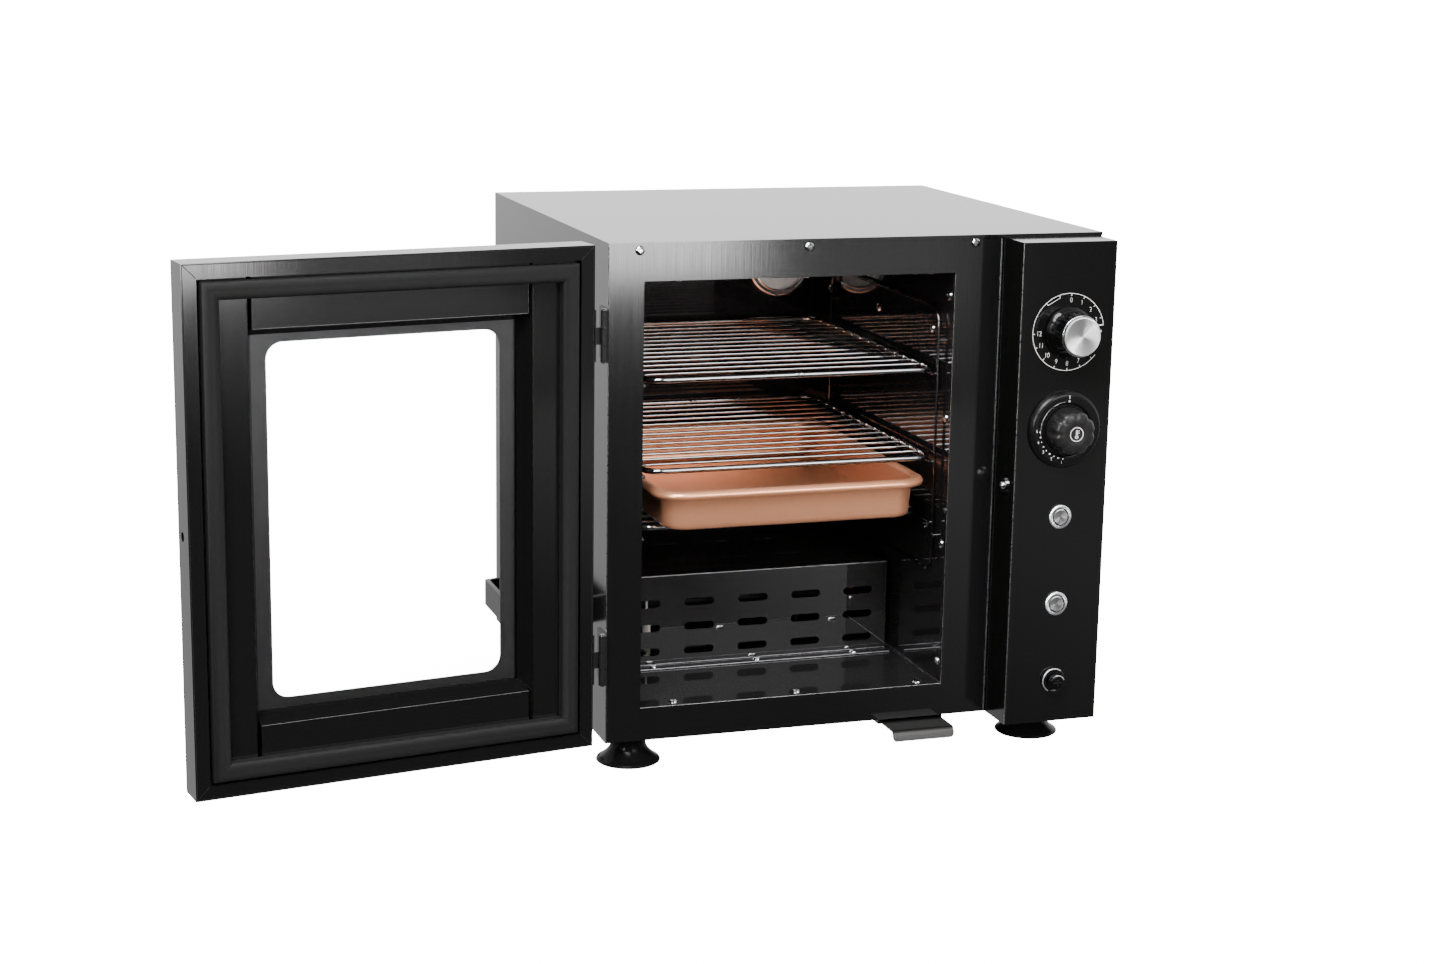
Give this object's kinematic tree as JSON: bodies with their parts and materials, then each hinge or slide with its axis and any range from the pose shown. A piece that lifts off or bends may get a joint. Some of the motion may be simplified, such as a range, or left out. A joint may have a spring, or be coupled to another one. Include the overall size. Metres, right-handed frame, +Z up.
{
  "type": "countertop oven",
  "caption": "Bench-top oven with a side-hung glazed door, a projecting control box, wire racks on side guides, a baking tray, rubber feet and strap handles.",
  "frame": {"origin": "on the surface the feet stand on, under the middle of the cabinet's width and depth", "axes": "+Z up; -Y towards the front, where the door and controls are; +X to the right as seen from the front, where the control box is"},
  "size_m": [0.8541, 0.51, 0.455],
  "materials": {
    "black_steel": "glossy black titanium-toned brushed sheet",
    "cavity_steel": "satin black-toned brushed sheet",
    "back_steel": "satin black",
    "plain_steel": "plated sheet",
    "bare_steel": "bare brushed sheet",
    "bright_wire": "bright plated wire",
    "chrome_trim": "polished",
    "spun_metal": "spun, with fine concentric rings",
    "spring_wire": "drawn wire",
    "rose_coating": "rose-gold non-stick coating, satin",
    "foot_rubber": "glossy black",
    "gasket_rubber": "matt black",
    "black_plastic": "satin black",
    "cream_plastic": "plain",
    "blue_plastic": "potted, dark",
    "window_glass": "clear",
    "lamp_glass": "clear, moulded",
    "brass_parts": "machined",
    "copper_pipe": "drawn copper",
    "ceramic": "glazed ceramic",
    "wool": "mineral wool"
  },
  "bodies": {
    "cabinet": {"outer_shell": "black_steel", "back_panel": "back_steel", "base_panel": "back_steel", "front_frame": "black_steel", "cavity_sides": "cavity_steel", "cavity_ceiling": "cavity_steel", "cavity_back": "cavity_steel", "cavity_floor": "cavity_steel", "insulation": "wool", "partition_panel": "plain_steel", "control_box": "black_steel", "burner_cover": "cavity_steel", "burner_tube": "plain_steel", "gas_valve": "brass_parts", "gas_pipe": "copper_pipe", "gas_inlet": "brass_parts", "spark_electrode": "ceramic", "igniter_module": "blue_plastic", "sensing_bulb": "copper_pipe", "rack_guides": "bright_wire", "lamp_housing": "plain_steel", "lamp_bulb": "lamp_glass", "lamp_lens": "lamp_glass", "lamp_bezel": "chrome_trim", "timer_body": "cream_plastic", "thermostat_dial_plate": "black_plastic", "ignition_switch": "spun_metal", "lamp_switch": "spun_metal", "button_springs": "spring_wire", "fuse_holder": "black_plastic", "catch_housing": "chrome_trim", "catch_spring": "spring_wire", "feet": "foot_rubber", "side_handles": "back_steel", "hinge_frame_leaves": "back_steel", "hinge_pins": "chrome_trim", "cord_gland": "black_plastic", "cabinet_screws": "chrome_trim"},
    "door": {"door_skin": "black_steel", "door_inner_frame": "black_steel", "door_glass": "window_glass", "door_gasket": "gasket_rubber", "door_handle": "bare_steel", "door_screws": "chrome_trim", "hinge_door_leaves": "back_steel"},
    "upper_rack_body": {"upper_rack": "bright_wire"},
    "middle_rack_body": {"middle_rack": "bright_wire"},
    "lower_rack_body": {"lower_rack": "bright_wire"},
    "tray": {"baking_tray": "rose_coating"},
    "timer_dial": {"timer_shaft": "spring_wire", "timer_knob": "black_plastic", "timer_knob_cap": "spun_metal"},
    "thermostat_dial": {"thermostat_shaft": "spring_wire", "thermostat_knob": "black_plastic"},
    "ignition_press_body": {"ignition_button": "spun_metal"},
    "lamp_press_body": {"lamp_button": "spun_metal"},
    "fuse_carrier": {"fuse_link": "lamp_glass"},
    "fuse_lid": {"fuse_cap": "black_plastic"},
    "catch_ball_body": {"catch_ball": "chrome_trim"},
    "damper": {"air_damper": "bare_steel"}
  },
  "joints": [
    {"name": "door_hinge", "type": "hinge", "parent": "cabinet", "child": "door", "pos_m": [-0.228, -0.209, 0.24], "axis": [0, 0, 1], "range_deg": [-5, 171]},
    {"name": "upper_rack_slide", "type": "slide", "parent": "cabinet", "child": "upper_rack_body", "axis": [0, 1, 0], "range_m": [-0.24, 0]},
    {"name": "middle_rack_slide", "type": "slide", "parent": "cabinet", "child": "middle_rack_body", "axis": [0, 1, 0], "range_m": [-0.24, 0]},
    {"name": "lower_rack_slide", "type": "slide", "parent": "cabinet", "child": "lower_rack_body", "axis": [0, 1, 0], "range_m": [-0.24, 0]},
    {"name": "tray_slide", "type": "slide", "parent": "lower_rack_body", "child": "tray", "axis": [0, 1, 0], "range_m": [-0.2, 0]},
    {"name": "timer_turn", "type": "hinge", "parent": "cabinet", "child": "timer_dial", "pos_m": [0.17455, -0.248, 0.3747], "axis": [0, 1, 0], "range_deg": [0, 270]},
    {"name": "thermostat_turn", "type": "hinge", "parent": "cabinet", "child": "thermostat_dial", "pos_m": [0.17455, -0.248, 0.2898], "axis": [0, 1, 0], "range_deg": [-210, 0]},
    {"name": "ignition_press", "type": "slide", "parent": "cabinet", "child": "ignition_press_body", "axis": [0, 1, 0], "range_m": [0, 0.003], "stiffness_N_per_m": 300},
    {"name": "lamp_press", "type": "slide", "parent": "cabinet", "child": "lamp_press_body", "axis": [0, 1, 0], "range_m": [0, 0.003], "stiffness_N_per_m": 300},
    {"name": "fuse_draw", "type": "slide", "parent": "cabinet", "child": "fuse_carrier", "axis": [0, 1, 0], "range_m": [-0.03, 0]},
    {"name": "fuse_turn", "type": "hinge", "parent": "fuse_carrier", "child": "fuse_lid", "pos_m": [0.17455, -0.248, 0.0635], "axis": [0, 1, 0], "range_deg": [-90, 0]},
    {"name": "catch_press", "type": "slide", "parent": "cabinet", "child": "catch_ball_body", "axis": [1, 0, 0], "range_m": [0, 0.003], "stiffness_N_per_m": 1000},
    {"name": "damper_slide", "type": "slide", "parent": "cabinet", "child": "damper", "axis": [0, 1, 0], "range_m": [-0.05, 0]}
  ]
}
